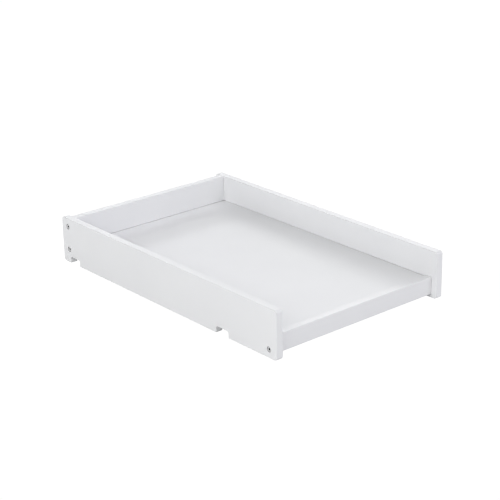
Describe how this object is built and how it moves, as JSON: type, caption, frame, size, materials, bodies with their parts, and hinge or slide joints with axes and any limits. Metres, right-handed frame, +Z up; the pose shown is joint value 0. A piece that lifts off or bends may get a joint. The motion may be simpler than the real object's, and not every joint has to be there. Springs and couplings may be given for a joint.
{
  "type": "cot top changer",
  "caption": "White painted board tray for nappy changing that sits across a cot: long notched side panels, tall end panel, low front rail and a grooved-in base, bolted at the corners.",
  "frame": {"origin": "under the middle of the tray, on the plane of the side panels' lower edges", "axes": "+X from the tall end panel to the low front rail, +Y from the left side panel to the right one, +Z up"},
  "size_m": [0.88, 0.56, 0.127],
  "materials": {
    "painted_board": "satin white paint",
    "base_board": "smooth white painted sheet",
    "bolt_steel": "zinc plated",
    "nut_steel": "zinc plated",
    "dowel_wood": "bare beech"
  },
  "bodies": {
    "root": {"left_side_panel": "painted_board", "right_side_panel": "painted_board", "end_panel": "painted_board", "front_rail": "painted_board", "base_panel": "base_board", "rear_left_bolts": "bolt_steel", "rear_right_bolts": "bolt_steel", "front_left_bolt": "bolt_steel", "front_right_bolt": "bolt_steel", "rear_left_barrel_nuts": "nut_steel", "rear_right_barrel_nuts": "nut_steel", "front_left_barrel_nut": "nut_steel", "front_right_barrel_nut": "nut_steel", "rear_left_dowels": "dowel_wood", "rear_right_dowels": "dowel_wood", "front_left_dowel": "dowel_wood", "front_right_dowel": "dowel_wood"}
  },
  "joints": []
}
